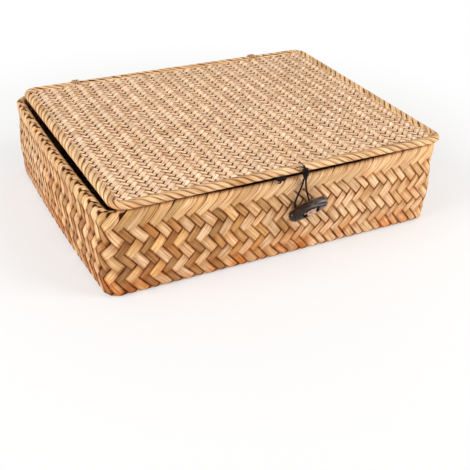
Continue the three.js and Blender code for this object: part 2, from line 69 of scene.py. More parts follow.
# Closing loop: one waxed cotton cord with both ends up in the knot on the lid's rim. It hangs down
# the front and round behind the toggle. Three plies are laid together and the wax is near black.
class Number:
    """A number in a node tree. Sums of such numbers are written as with plain ones."""

    def __init__(self, socket):
        self.socket = socket

    def __add__(self, other):
        return worked("ADD", self, other)

    def __sub__(self, other):
        return worked("SUBTRACT", self, other)

    def __rsub__(self, other):
        return worked("SUBTRACT", other, self)

    def __mul__(self, other):
        return worked("MULTIPLY", self, other)

    def __truediv__(self, other):
        return worked("DIVIDE", self, other)

    def __mod__(self, other):
        return worked("FLOORED_MODULO", self, other)

    def __pow__(self, other):
        return worked("POWER", self, other)

    def __rpow__(self, other):
        return worked("POWER", other, self)


def socket_of(value):
    """The socket that a value comes from, or nothing for a plain value."""
    value = value.socket if isinstance(value, Number) else value
    return value if isinstance(value, bpy.types.NodeSocket) else None


def tree_of(*values):
    """The node tree that the first socket among some values is in."""
    return next(filter(None, map(socket_of, values))).id_data


def wired(node, wires):
    """A node with its inputs wired to sockets or given plain values."""
    for place, value in wires.items() if isinstance(wires, dict) else enumerate(wires):
        if socket_of(value):
            node.id_data.links.new(socket_of(value), node.inputs[place])
        elif value is not None:
            node.inputs[place].default_value = value
    return node


def put(tree, kind, wires=(), **settings):
    """A new node with its settings, wired up."""
    made = tree.nodes.new(kind)
    for key, value in settings.items():
        setattr(made, key, value)
    return wired(made, wires)


def worked(operation, *values):
    """The answer of one sum."""
    return Number(put(tree_of(*values), "ShaderNodeMath", values, operation=operation).outputs[0])


def ranged(value, low, high, least=0.0, most=1.0, kind="LINEAR"):
    """A number carried from one range over to another, and held at its ends."""
    wires = [value, low, high, least, most]
    return Number(put(tree_of(value), "ShaderNodeMapRange", wires, interpolation_type=kind).outputs[0])


def parts(vector):
    """The three numbers of a vector."""
    return [Number(part) for part in put(tree_of(vector), "ShaderNodeSeparateXYZ", [vector]).outputs]


def new_shape(name, inputs):
    """A Geometry Nodes tree, its named inputs as numbers, and its way out."""
    tree = bpy.data.node_groups.new(name, "GeometryNodeTree")
    tree.interface.new_socket("Geometry", in_out="INPUT", socket_type="NodeSocketGeometry")
    tree.interface.new_socket("Geometry", in_out="OUTPUT", socket_type="NodeSocketGeometry")
    for label, kind in inputs.items():
        tree.interface.new_socket(label, in_out="INPUT", socket_type="NodeSocket" + kind)
    given = {socket.name: Number(socket) for socket in tree.nodes.new("NodeGroupInput").outputs}
    return tree, given, tree.nodes.new("NodeGroupOutput")


def end_shape(geometry, material, result):
    """The end of a tree: what is copied becomes real and takes its material."""
    whole = put(result.id_data, "GeometryNodeRealizeInstances", {"Geometry": geometry})
    wires = {"Geometry": whole.outputs[0], "Material": material}
    wired(result, [put(result.id_data, "GeometryNodeSetMaterial", wires).outputs[0]])


def grown(name, source, tree, **values):
    """A plain mesh object made by a tree from the source object, with the tree's inputs set."""
    bpy.context.scene.collection.objects.link(source)
    modifier = source.modifiers.new("shape", "NODES")
    modifier.node_group = tree
    for item in tree.interface.items_tree:
        label = item.name.replace(" ", "_").lower()
        if item.in_out == "INPUT" and label in values:
            modifier[item.identifier] = values[label]
    evaluated = source.evaluated_get(bpy.context.evaluated_depsgraph_get())
    made = added(name, bpy.data.meshes.new_from_object(evaluated))
    source.modifiers.remove(modifier)
    bpy.context.scene.collection.objects.unlink(source)
    return made


def line_object(name, routes, closed=False):
    """A curve object with one straight-stepped spline for each route of points."""
    data = bpy.data.curves.new(name, "CURVE")
    data.dimensions = "3D"
    for route in routes:
        spline = data.splines.new("POLY")
        spline.points.add(len(route) - 1)
        for point, place in zip(spline.points, route):
            point.co = (*place, 1)
        spline.use_cyclic_u = closed
    return bpy.data.objects.new(name, data)


def smooth_route(points, steps):
    """Points on a smooth line through the given ones, so many steps between each two."""
    ends = [points[0] * 2 - points[1], *points, points[-1] * 2 - points[-2]]
    route = []
    for before, start, end, after in zip(ends, ends[1:], ends[2:], ends[3:]):
        for step in range(steps):
            share = step / steps
            route.append(0.5 * (
                2 * start + (end - before) * share
                + (2 * before - 5 * start + 4 * end - after) * share**2
                + (3 * start - before - 3 * end + after) * share**3
            ))
    return [*route, points[-1]]


cord_shape, given, result = new_shape(
    "laid_cord", {"Radius": "Float", "Lay": "Float", "Material": "Material"}
)
along = Number(put(cord_shape, "GeometryNodeSplineParameter").outputs["Length"])
turned = put(cord_shape, "GeometryNodeSetCurveTilt", {
    "Curve": given["Geometry"], "Tilt": along / given["Lay"] * math.tau,
})
marked = put(
    cord_shape, "GeometryNodeStoreNamedAttribute",
    {"Geometry": turned.outputs[0], "Name": "along", "Value": along},
    data_type="FLOAT", domain="POINT",
)
ring = put(cord_shape, "GeometryNodeCurvePrimitiveCircle", {"Resolution": 15, "Radius": 1.0})
ring_place = put(cord_shape, "GeometryNodeInputPosition").outputs[0]
ring_x, ring_y = parts(ring_place)[:2]
ply_count, ply_relief = 3.0, 0.1
swell = worked("COSINE", worked("ARCTAN2", ring_y, ring_x) * ply_count) * ply_relief + (1 - ply_relief)
plies = put(cord_shape, "GeometryNodeSetPosition", {
    "Geometry": ring.outputs[0],
    "Position": put(
        cord_shape, "ShaderNodeVectorMath", {0: ring_place, "Scale": swell * given["Radius"]},
        operation="SCALE",
    ).outputs[0],
})
cord_skin = put(cord_shape, "GeometryNodeCurveToMesh", {
    "Curve": marked.outputs[0], "Profile Curve": plies.outputs[0], "Fill Caps": True,
})
cord_smooth = put(cord_shape, "GeometryNodeSetShadeSmooth", {"Geometry": cord_skin.outputs[0]})
end_shape(cord_smooth.outputs[0], given["Material"], result)


def new_surface(name, roughness, **values):
    """A material whose shader has these values."""
    made = bpy.data.materials.new(name)
    made.use_nodes = True
    named = {label.replace("_", " "): value for label, value in values.items()}
    wired(made.node_tree.nodes["Principled BSDF"], {"Roughness": roughness, **named})
    return made


def place_on(surface):
    """The object's own coordinates in a material."""
    return put(surface.node_tree, "ShaderNodeTexCoord").outputs["Object"]


def dress(surface, colour, relief, depth, roughness=None):
    """Give a material its colour, a relief of some depth, and a roughness that varies."""
    tree = surface.node_tree
    bump = put(tree, "ShaderNodeBump", {"Height": relief, "Distance": depth})
    wired(tree.nodes["Principled BSDF"], {
        "Base Color": colour, "Normal": bump.outputs[0], "Roughness": roughness,
    })


def blended(share, first, second, mode="MIX"):
    """A colour between two others."""
    return put(
        tree_of(share, first, second), "ShaderNodeMix", {0: share, 6: first, 7: second},
        data_type="RGBA", blend_type=mode,
    ).outputs[2]


def noise(vector, scale, detail=2.0):
    """A soft noise from 0 to 1 at a place, so many spots to the metre."""
    wires = {"Vector": vector, "Scale": scale, "Detail": detail}
    return Number(put(tree_of(vector), "ShaderNodeTexNoise", wires).outputs["Fac"])


waxed = new_surface("waxed_cord", 0.5, Specular_IOR_Level=0.12)
place = place_on(waxed)
lint = noise(place, 2600.0, 3.0)
dress(
    waxed, blended(lint * noise(place, 300.0), (0.006, 0.004, 0.004, 1), (0.036, 0.024, 0.021, 1)),
    lint, 0.15 * mm, lint * 0.4 + 0.3,
)

loop_points = [Vector(point) * mm for point in (
    (15.3, -136.4, 79.7), (14.9, -136, 75), (13.3, -135.6, 69), (11, -135.3, 62.5),
    (9.3, -135.1, 57), (9.6, -135.1, 51), (12.6, -135.1, 46.9), (17, -135.1, 45.4),
    (21.7, -135.1, 46.4), (24.5, -135.1, 50.2), (23.8, -135.1, 56), (21.8, -135.3, 61),
    (19.9, -135.6, 67), (18.5, -136, 73), (17.6, -136.4, 79.7),
)]
cord_radius = 0.75 * mm
cord_lay = 5 * mm
loop_path = smooth_route(loop_points, 6)
loop_line = line_object("loop_line", [loop_path])
ply_crown = 1.27 * cord_radius
loop = grown("loop_of_cord", loop_line, cord_shape, radius=ply_crown, lay=cord_lay, material=waxed)
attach(loop, "closing_loop")
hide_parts("loop_cord")
loop_length = sum((end - start).length for start, end in zip(loop_path, loop_path[1:]))


# Knots: the same waxed cord wound round itself, on the lid's front rim, where it holds the loop and
# has a stitch through the rim and two cut ends, and on the tub's front rim. At the back, two
# lashings of three turns of plain brown cord hold the rims together as a hinge.
def wound(centre, radii, axis, turns):
    """A route wound round an egg-shaped knot, from one end of its long axis to the other."""
    others = [side for side in range(3) if side != axis]
    steps_per_turn = 14
    count = turns * steps_per_turn
    route = []
    for step in range(count + 1):
        polar = math.pi * (0.08 + 0.84 * step / count)
        turn = math.tau * turns * step / count
        place = Vector(centre)
        place[axis] -= radii[axis] * math.cos(polar)
        place[others[0]] += radii[others[0]] * math.sin(polar) * math.cos(turn)
        place[others[1]] += radii[others[1]] * math.sin(polar) * math.sin(turn)
        route.append(place * mm)
    return route


def stands_for(piece, body, node):
    """A visible piece rides on its body in place of one CAD node."""
    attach(piece, body)
    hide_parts(node)


def cord_piece(name, routes, body, node, radius=cord_radius, material=waxed):
    """Knotted or lashed cord that stands for one CAD node."""
    line = line_object(name + "_line", routes)
    made = grown(name, line, cord_shape, radius=radius, lay=cord_lay, material=material)
    stands_for(made, body, node)


def through(*points):
    """A smooth route through points given in millimetres."""
    return smooth_route([Vector(point) * mm for point in points], 5)


stitch_x, stitch_y = 15.0, -126.9
cord_piece("lid_knot", [
    wound((16.4, -137.5, 85.4), (2.6, 1.6, 4.4), 2, 6),
    wound((16.4, -137.5, 86.4), (1.4, 0.9, 3.4), 2, 3),
    wound((15.3, -137.7, 88.9), (2.5, 1.4, 1.6), 0, 3),
    through((16.2, -138.9, 81.6), (15.2, -139.5, 84), (16.8, -139.8, 87), (17.4, -138.7, 90)),
    through((15.2, -137.2, 79.4), (15.6, -137.6, 82), (16.2, -137.7, 85)),
    through((17.7, -137.2, 79.4), (17.4, -137.6, 82), (16.6, -137.7, 85)),
], "lid", "loop_knot")
cord_piece("lid_stitch", [
    through(
        (stitch_x, -137.5, 85.05), (stitch_x, -131.4, 84.9), (stitch_x, stitch_y - 0.6, 85),
        (stitch_x, stitch_y, 85.8), (stitch_x, stitch_y, 91), (stitch_x, stitch_y - 0.6, 92.3),
        (stitch_x, -131.4, 92.5), (stitch_x, -135.4, 91.4), (stitch_x + 0.4, -137.4, 88.6),
    ),
    through((16, -137.6, 88), (stitch_x, -137.7, 91.5), (13.6, -137.4, 94.2)),
    through((16, -137.6, 88), (stitch_x, -137.5, 90.6), (10, -137.3, 93), (4.6, -137.0, 92.6)),
], "lid", "loop_knot", 0.5 * mm)
rim_knot_centre = (-8.2, -137.2, 84.9)
stem_x, stopper_y, stopper_z = -7.6, -123.9, 78.15
cord_piece("tub_knot", [
    wound(rim_knot_centre, (4.3, 1.5, 1.6), 0, 6),
    wound(rim_knot_centre, (3.0, 0.8, 0.9), 0, 3),
    through((-12.2, -137.9, 83.9), (-9.6, -139, 85.3), (-6.6, -139.1, 84.3), (-4, -138, 85.7)),
    through(
        (stem_x, -137, 84), (stem_x, -135.6, 81.4), (stem_x, -134, 79.3), (stem_x, -131.5, 78.2),
        (stem_x, stopper_y, stopper_z),
    ),
    through(
        (stem_x, -137, 84), (stem_x, -134.4, 82.1), (stem_x, -130, 81.5), (stem_x, -126, 81),
        (stem_x, -124.2, 79),
    ),
    wound((stem_x, stopper_y, stopper_z), (1.3, 1.0, 1.3), 1, 3),
], "tub", "rim_knot")

straw_cord = new_surface("lashing_cord", 0.6, Specular_IOR_Level=0.25)
lint = noise(place_on(straw_cord), 2200.0, 3.0)
dress(straw_cord, blended(lint, (0.30, 0.16, 0.07, 1), (0.72, 0.46, 0.25, 1)), lint, 0.15 * mm)
hinge_z, band_foot_z, lashing_y, lashing_radius = 87.9, 73.0, 129.95, 5.1
lashing_turns, lashing_pitch, lashing_knot_z = 3, 2.4, 78.0
straight = hinge_z - band_foot_z
half_lap = straight + math.pi * lashing_radius
steps_per_lap = 60
for side, centre_x in (("left", -105.4), ("right", 105.4)):
    route = []
    first_x = centre_x - lashing_turns * lashing_pitch / 2
    for step in range(lashing_turns * steps_per_lap + 1):
        laps = step / steps_per_lap
        way = (hinge_z - lashing_knot_z + laps * 2 * half_lap) % (2 * half_lap)
        turn = (way % half_lap - straight) / lashing_radius
        inward = 1 if way < half_lap else -1
        if turn < 0:
            y = -inward * lashing_radius
            z = hinge_z - way if inward == 1 else band_foot_z + way - half_lap
        else:
            y = -inward * lashing_radius * math.cos(turn)
            z = (band_foot_z if inward == 1 else hinge_z) - inward * lashing_radius * math.sin(turn)
        route.append(Vector((first_x + laps * lashing_pitch, lashing_y + y, z)) * mm)
    knots = [wound(
        (centre_x + way * lashing_turns * lashing_pitch / 2, lashing_y - lashing_radius, lashing_knot_z),
        (1.0, 0.9, 1.2), 2, 3,
    ) for way in (-1, 1)]
    name = "hinge_winding_" + side
    cord_piece(name, [route, *knots], "tub", "hinge_lashing_" + side, material=straw_cord)


# Floor and backdrop: a plain pale floor that keeps the box's shadow and fades to white round it.
# Three soft lamps, as large as windows, and a bright room light the grass evenly.
floor_mesh = bpy.data.meshes.new("floor")
floor_mesh.from_pydata([(-6, -6, 0), (6, -6, 0), (6, 6, 0), (-6, 6, 0)], [], [(0, 1, 2, 3)])
floor = added("floor", floor_mesh)
paper = new_surface("floor_paper", 0.9, Base_Color=(0.88, 0.87, 0.86, 1))
tree = paper.node_tree
away = put(tree, "ShaderNodeVectorMath", [place_on(paper)], operation="LENGTH").outputs["Value"]
fade = ranged(away, 0.22, 0.5, 0.45, 1.0, "SMOOTHSTEP")
white = put(tree, "ShaderNodeEmission", {"Color": (1, 1, 1, 1), "Strength": 1.0})
floor_mix = put(tree, "ShaderNodeMixShader", [
    fade * put(tree, "ShaderNodeLightPath").outputs["Is Camera Ray"],
    tree.nodes["Principled BSDF"].outputs[0], white.outputs[0],
])
wired(tree.nodes["Material Output"], [floor_mix.outputs[0]])
floor_mesh.materials.append(paper)

room = bpy.data.worlds.new("room")
bpy.context.scene.world = room
room.use_nodes = True
shown = Number(put(room.node_tree, "ShaderNodeLightPath").outputs["Is Camera Ray"])
wired(room.node_tree.nodes["Background"], {"Color": (1, 1, 1, 1), "Strength": shown * 0.45 + 0.55})
lamp_target = Vector((0, 0, 0.04))
for name, place, size, power, tone in (
    ("window_right", (0.9, -1.0, 1.3), 0.6, 9.5, (1, 0.97, 0.93)),
    ("window_low", (0.64, -0.56, 0.17), 0.3, 2.0, (1, 0.97, 0.94)),
    ("window_left", (-1.5, -0.2, 0.9), 1.0, 18.5, (0.97, 0.985, 1)),
):
    lamp_data = bpy.data.lights.new(name, "AREA")
    lamp_data.size = size
    lamp_data.energy = power
    lamp_data.color = tone
    lamp = added(name, lamp_data)
    lamp.location = place
    lamp.rotation_euler = (lamp_target - lamp.location).to_track_quat("-Z", "Y").to_euler()


# Tub walls: flat blades of seagrass plaited on the bias, each over two and under two, so that the
# rows lean one way and then the other. The blades turn under at the foot and run round the corners.
def blade_pattern(name, ups, downs, across, half_width=0.488, crown=0.28):
    """One stretch of blade on top of the plait, in strips along it and across it. It rises from
    under the blade above, lies flat with its sides turned down, and its lower end dives."""
    rises = ups[0] > -1.6
    dives = downs[-1] < 1.2
    lengths = [*ups, *downs, downs[-1] + 0.05] if dives else [*ups, *downs]
    sides = [-1.0, -0.99, *[0.93 * (2 * step / across - 1) for step in range(across + 1)], 0.99, 1.0]
    places = []
    for length in lengths:
        rising = min(max((-0.55 - length) / 0.7, 0), 1) if rises else 0
        sunk = rising * rising * (3 - 2 * rising)
        cut = 0.9 if length > downs[-1] else 0.08 * max(length, 0) ** 4 if dives else 0
        for side in sides:
            lie = 0.3 - crown * abs(side) ** 3
            skirt = 0.8 if abs(side) == 1.0 else 0.0
            places.append((length, side * half_width, lie - skirt * (1 - sunk) - sunk - cut))
    count = len(sides)
    faces = [
        (row * count + column, (row + 1) * count + column,
         (row + 1) * count + column + 1, row * count + column + 1)
        for row in range(len(lengths) - 1) for column in range(count - 1)
    ]
    data = bpy.data.meshes.new(name)
    data.from_pydata(places, [], faces)
    return bpy.data.objects.new(name, data)


plait, wire, result = new_shape("plait", {
    "Outline": "Object", "Profile": "Object", "Wrapped": "Bool", "Columns": "Int", "Rows": "Int",
    "First row": "Int", "Spacing": "Float", "Step": "Float", "Foot": "Float", "Shift": "Float",
    "Start": "Float", "Thickness": "Float", "Unevenness": "Float", "Wide": "Float", "Bold": "Float",
    "Sided": "Float", "Side lines": "Float", "Line width": "Float", "Slots": "Float",
    "Extra": "Float", "End lines": "Float", "Tuck": "Float", "Seed": "Int", "Material": "Material",
})


def stored(geometry, name, *values):
    """Geometry with three named numbers kept at each point."""
    return put(
        plait, "GeometryNodeStoreNamedAttribute",
        {"Geometry": geometry, "Name": name, "Value": vector_of(*values)},
        data_type="FLOAT_VECTOR", domain="POINT",
    ).outputs[0]


def vector_of(*values):
    """Three numbers as one vector."""
    return put(plait, "ShaderNodeCombineXYZ", values).outputs[0]


def kept_parts(name):
    """The three named numbers that each point keeps."""
    return parts(put(
        plait, "GeometryNodeInputNamedAttribute", {"Name": name}, data_type="FLOAT_VECTOR"
    ).outputs[0])


def random_from(number):
    """A steady random share for a whole number."""
    return put(
        plait, "FunctionNodeRandomValue", {"ID": number, "Seed": wire["Seed"]}, data_type="FLOAT"
    ).outputs[1]


# Each crossing has one float. Rows lean one way and the other by turns, and each blade has its number.
index = Number(put(plait, "GeometryNodeInputIndex").outputs[0])
column = index % wire["Columns"]
row = worked("FLOOR", index / wire["Columns"]) + wire["First row"]
lean = row % 2.0 * -2.0 + 1.0
length_round = wire["Columns"] * wire["Spacing"]
offset = column - lean * (row + 0.25)
centre_u = (offset * wire["Spacing"] + wire["Shift"]) % length_round
centre_v = (row * 2.0 + 0.5) * wire["Step"] + wire["Foot"]
blade = lean * 500.0 + (column + 1000.0)
points = put(plait, "GeometryNodePoints", {"Count": wire["Columns"] * wire["Rows"]}).outputs[0]
points = stored(points, "centre", centre_u, centre_v, lean)
points = stored(points, "strand", random_from(blade), random_from(index), blade)
copies = put(plait, "GeometryNodeInstanceOnPoints", {"Points": points, "Instance": wire["Geometry"]})
floats = put(plait, "GeometryNodeRealizeInstances", {"Geometry": copies.outputs[0]}).outputs[0]

# Each float has its own width, lie and skew. It narrows where it bends at the rim, but not on the
# front, which is the first 312 mm of the outline.
centre = kept_parts("centre")
strand = kept_parts("strand")
local = parts(put(plait, "GeometryNodeInputPosition").outputs[0])
from_middle = worked("ABSOLUTE", local[1])
front_end = 0.312
wide = (strand[2] % 2.0 * -2.0 + 1.0) * wire["Wide"]
bend = worked("EXPONENT", (local[0] * 3.0 + 5.6) ** 2.0 * -1.0)
off_front = 1.0 - worked("LESS_THAN", centre[0], front_end)
slot = wire["Slots"] * bend * off_front
own_width = worked("FRACT", strand[0] * 57.31) * -0.07 + 1.02
across = local[1] * (own_width + wide - slot)
leading = wire["Bold"] * worked("GREATER_THAN", centre[2], 0.0)
trailing = wire["Bold"] - leading
down = wide * 0.5 + ((local[0] - 1.0) * leading + local[0])
lying = leading * 1.5 + worked("MAXIMUM", local[0], 0.0) * (trailing * -2.0)
step_length = worked("SQRT", (wire["Spacing"] * 0.5) ** 2.0 + wire["Step"] ** 2.0)
blade_width = wire["Spacing"] * wire["Step"] / step_length
tip = (strand[1] - 0.5) * (across * 0.8)
rise = (local[2] + lying + tip) * wire["Thickness"]
skew = (worked("FRACT", strand[1] * 31.7) - 0.5) * 0.07
slant = down * skew + across
flat_u = (down + slant) * (centre[2] * (wire["Spacing"] * 0.5)) + centre[0]
flat_v = (slant - down) * wire["Step"] + centre[1]
along_blade = step_length * (down - centre[1] / wire["Step"])
floats = stored(floats, "fibre", along_blade, across * blade_width, strand[2])

# Painted shade: dark lines along its sides and lower end, stronger on one lean, in the slots, and where
# it tucks under.
edge = 0.485
side_line = ranged(from_middle, edge - wire["Line width"], edge, most=0.9, kind="SMOOTHSTEP")
lower_end = wire["Extra"] + 1.0
end_reach = wire["Line width"] * (off_front * wire["End lines"] + 3.3)
end_line = ranged(local[0], lower_end - end_reach, lower_end, kind="SMOOTHSTEP")
slot_line = ranged(from_middle, 0.12, 0.42, kind="SMOOTHSTEP")
kept = 1.0 - worked("MAXIMUM", wire["Sided"] * centre[2], 0.0)
lines = worked("MAXIMUM", side_line * wire["Side lines"], end_line)
tuck = ranged(local[0], -0.2, -0.95, most=wire["Tuck"], kind="SMOOTHSTEP")
depth = worked("MAXIMUM", worked("MAXIMUM", lines * kept, tuck), slot_line * slot)

# Blades differ in shade at random, more by turns of pale and dark near the front left corner.
# Besides tone, this paints shade: the blades near the front left corner are darker on the whole, so the
# front darkens to its left.
around = worked("COSINE", centre[0] / length_round * math.tau)
paired = ranged(around, 0.5, 0.95, 0.15, 0.6)
evened = ranged(around, 0.5, 0.97, 0.82, 0.0)
drawn = strand[0] * (1.0 - paired) + strand[2] % 2.0 * paired
floats = stored(floats, "tone", (0.15 - drawn) * evened + drawn, strand[1], depth)

# The whole plait wanders a little. It is then wrapped round the outline and up the profile, or left flat.
turn = flat_u / length_round * math.tau
reach = length_round / math.tau
wander = put(plait, "ShaderNodeTexNoise", {
    "Scale": 28.0, "Detail": 1.0,
    "Vector": vector_of(worked("COSINE", turn) * reach, worked("SINE", turn) * reach, flat_v),
}).outputs["Color"]
centred = put(plait, "ShaderNodeVectorMath", [wander, (0.5, 0.5, 0.5)], operation="SUBTRACT").outputs[0]
drifts = parts(put(
    plait, "ShaderNodeVectorMath", {0: centred, "Scale": wire["Unevenness"]}, operation="SCALE"
).outputs[0])
moved_u = flat_u + drifts[0]
moved_v = flat_v + drifts[1]
outline, profile = (
    put(plait, "GeometryNodeObjectInfo", {"Object": wire[label]}).outputs["Geometry"]
    for label in ("Outline", "Profile")
)
on_outline = put(plait, "GeometryNodeSampleCurve", {
    "Curves": outline, "Factor": worked("FRACT", moved_u / length_round),
}, mode="FACTOR")
on_profile = put(plait, "GeometryNodeSampleCurve", {
    "Curves": profile, "Length": moved_v + wire["Start"],
}, mode="LENGTH")
ground = parts(on_outline.outputs["Position"])
heading = parts(on_outline.outputs["Tangent"])
section = parts(on_profile.outputs["Position"])
climb = parts(on_profile.outputs["Tangent"])
inset = section[0] - climb[2] * rise
final_place = put(plait, "GeometryNodeSwitch", {
    "Switch": wire["Wrapped"], "False": vector_of(moved_u, moved_v, rise), "True": vector_of(
        ground[0] - heading[1] * inset, heading[0] * inset + ground[1], climb[0] * rise + section[2],
    ),
}, input_type="VECTOR").outputs[0]
placed = put(plait, "GeometryNodeSetPosition", {"Geometry": floats, "Position": final_place})
turned_over = put(
    plait, "FunctionNodeCompare", {0: centre[2], 1: 0.0}, data_type="FLOAT", operation="LESS_THAN"
)
facing = put(plait, "GeometryNodeFlipFaces", {
    "Mesh": placed.outputs[0], "Selection": turned_over.outputs[0],
})
smooth = put(plait, "GeometryNodeSetShadeSmooth", {"Geometry": facing.outputs[0]}).outputs[0]
for spent in ("centre", "strand"):
    smooth = put(plait, "GeometryNodeRemoveAttribute", {"Geometry": smooth, "Name": spent}).outputs[0]
end_shape(smooth, wire["Material"], result)


def rounded_outline(half_length, half_depth, radius, bow=0.0, centre=(0, 0)):
    """Points round a rounded rectangle in millimetres, counter-clockwise from its front left."""
    corner_steps, longest_piece = 16, 4
    route = []
    for side_x, side_y, start in ((1, -1, -90), (1, 1, 0), (-1, 1, 90), (-1, -1, 180)):
        for step in range(corner_steps + 1):
            turn = math.radians(start + 90 * step / corner_steps)
            route.append((side_x * (half_length - radius) + radius * math.cos(turn),
                          side_y * (half_depth - radius) + radius * math.sin(turn)))
    dense = []
    for start, end in zip(route[-1:] + route, route):
        pieces = max(1, round(math.dist(start, end) / longest_piece))
        dense += [(start[0] + (end[0] - start[0]) * part / pieces,
                   start[1] + (end[1] - start[1]) * part / pieces) for part in range(pieces)]
    return [Vector((
        x * (1 + bow / half_length * (1 - (y / half_depth) ** 2)) + centre[0], y + centre[1], 0
    )) * mm for x, y in dense]


def section_line(name, points):
    """A profile in millimetres, inset from the outline and height, as a curve object."""
    return line_object(name, [[Vector((inset, 0, height)) * mm for inset, height in points]])


def arc_points(inset, height, radius, start, end, steps):
    """Points of an arc from one angle to another; 180 degrees is the outer side, 90 the top."""
    return [(inset + radius * math.cos(math.radians(start + (end - start) * step / steps)),
             height + radius * math.sin(math.radians(start + (end - start) * step / steps)))
            for step in range(steps + 1)]


wall_height, wall_lean, wall_belly = 73, 0.2, 2.2
under_inset, foot_radius = 13, 5


def wall_inset(z):
    """How far the tub's bellied wall lies inside the rim at a height, in millimetres."""
    share = min(max(z / wall_height, 0), 1)
    return 2 - wall_lean * share - wall_belly * math.sin(math.pi * share) ** 2


tub_outline = line_object("tub_outline", [rounded_outline(170, 134, 14, 3)], closed=True)
foot_inset = wall_inset(foot_radius) + foot_radius
tub_section = section_line("tub_section", [
    (under_inset, 0), *arc_points(foot_inset, foot_radius, foot_radius, 270, 180, 8),
    *[(wall_inset(z), z) for z in range(8, 67, 3)],
    (1.05, 69), (0.6, 71.5), (0.35, 74), (0.25, 77),
    *arc_points(4.05, 79.95, 3.85, 180, 0, 16), (7.9, 76), (6.4, 70), (6.3, 60), (6.3, 5), (6.7, 4.6),
    (18, 4.5),
])
tub_start = (under_inset - foot_inset) + foot_radius / 2 * math.pi - foot_radius

grass = bpy.data.node_groups.new("grass_blade", "ShaderNodeTree")
for label, kind in (
    ("Tint", "Color"), ("Streaks", "Float"), ("Gaps", "Float"), ("Mottle", "Float"), ("Foot", "Float"),
):
    grass.interface.new_socket(label, in_out="INPUT", socket_type="NodeSocket" + kind)
for label, kind in (("Color", "Color"), ("Roughness", "Float"), ("Height", "Float")):
    grass.interface.new_socket(label, in_out="OUTPUT", socket_type="NodeSocket" + kind)
ask = grass.nodes.new("NodeGroupInput").outputs
fibre = put(grass, "ShaderNodeAttribute", attribute_name="fibre").outputs["Vector"]


def fibre_noise(scales, detail):
    """A noise drawn out along the blade; the scales are to the metre along it and across it."""
    drawn_out = put(grass, "ShaderNodeVectorMath", [fibre, scales], operation="MULTIPLY")
    return noise(drawn_out.outputs[0], 1.0, detail)


def tinted(colour, tint):
    """A colour seen through a tint."""
    return blended(1.0, colour, tint, "MULTIPLY")


def rgb(*parts_of_colour):
    """Three numbers as one tint."""
    return put(grass, "ShaderNodeCombineColor", parts_of_colour).outputs[0]


def stained(share, colour, tint):
    """A colour that takes up a share of a stain."""
    return blended(share, colour, tinted(colour, tint))


tone = parts(put(grass, "ShaderNodeAttribute", attribute_name="tone").outputs["Vector"])
place = put(grass, "ShaderNodeTexCoord").outputs["Object"]
fine = fibre_noise((50, 950, 7.7), 3.0)
broad = fibre_noise((22, 420, 3.1), 2.0)
hair = ranged(fibre_noise((35, 1500, 5.3), 1.0), 0.56, 0.72, most=0.62)
shade_blotches = noise(place, 70.0)
cloud = ranged(noise(place, 34.0, 3.0), 0.48, 0.7)
# Painted shade and bounce light: the blades turn darker and more orange towards the foot, in patches.
low = ranged(parts(place)[2], 34 * mm, 6 * mm, most=ask["Foot"])
foot_shade_patches = ranged(shade_blotches, 0.42, 0.6, least=0.12)
own = tone[1] * 0.22 + 0.93
# Painted shade: the tone's third part darkens the gaps, slots and tucks, varied in patches.
painted_gap_shade = tone[2] * ask["Gaps"] * (shade_blotches * 2.0)
colour = stained(
    ranged(broad, 0.52, 0.78, kind="SMOOTHSTEP") * ask["Streaks"], ask["Tint"], (0.62, 0.43, 0.28, 1)
)
colour = tinted(colour, rgb(fine * 1.4 + 0.30, fine * 1.9 + 0.05, fine * 2.4 - 0.20))
colour = tinted(colour, rgb(own, own, own))
colour = stained(hair, colour, (0.50, 0.30, 0.16, 1))
colour = stained(cloud * ask["Mottle"], colour, (0.86, 0.68, 0.45, 1))
colour = stained(low * foot_shade_patches, colour, (0.88, 0.54, 0.28, 1))
colour = tinted(colour, rgb(0.16**painted_gap_shade, 0.065**painted_gap_shade, 0.025**painted_gap_shade))
wired(grass.nodes.new("NodeGroupOutput"), {
    "Color": colour, "Roughness": fine * 0.35 + 0.34, "Height": fine + broad * 0.8,
})


def grass_surface(name, stops, streaks, gaps, height=0.25 * mm, mottle=0.5, foot=0.9):
    """Plaited grass whose blades take their colours from a ramp, with painted shade in the gaps and
    painted shade and bounce light near the foot.
    """
    made = new_surface(name, 0.55, Specular_IOR_Level=0.12)
    tree = made.node_tree
    tone = put(tree, "ShaderNodeAttribute", attribute_name="tone").outputs["Vector"]
    ramp = put(tree, "ShaderNodeValToRGB", [parts(tone)[0]])
    ramp.color_ramp.interpolation = "LINEAR"
    while len(ramp.color_ramp.elements) < len(stops):
        ramp.color_ramp.elements.new(0.5)
    for place, (element, colour) in enumerate(zip(ramp.color_ramp.elements, stops)):
        element.position = place / (len(stops) - 1)
        element.color = (*colour, 1)
    look = put(tree, "ShaderNodeGroup", {
        "Tint": ramp.outputs[0], "Streaks": streaks, "Gaps": gaps, "Mottle": mottle, "Foot": foot,
    }, node_tree=grass).outputs
    dress(made, look["Color"], look["Height"], height, look["Roughness"])
    return made


wall_grass = grass_surface("wall_grass", [
    (0.93, 0.57, 0.26), (0.71, 0.455, 0.235), (0.80, 0.54, 0.33), (0.70, 0.36, 0.125),
    (0.53, 0.285, 0.11), (0.43, 0.24, 0.095), (0.53, 0.245, 0.085), (0.36, 0.185, 0.07),
], 0.8, 1.0)

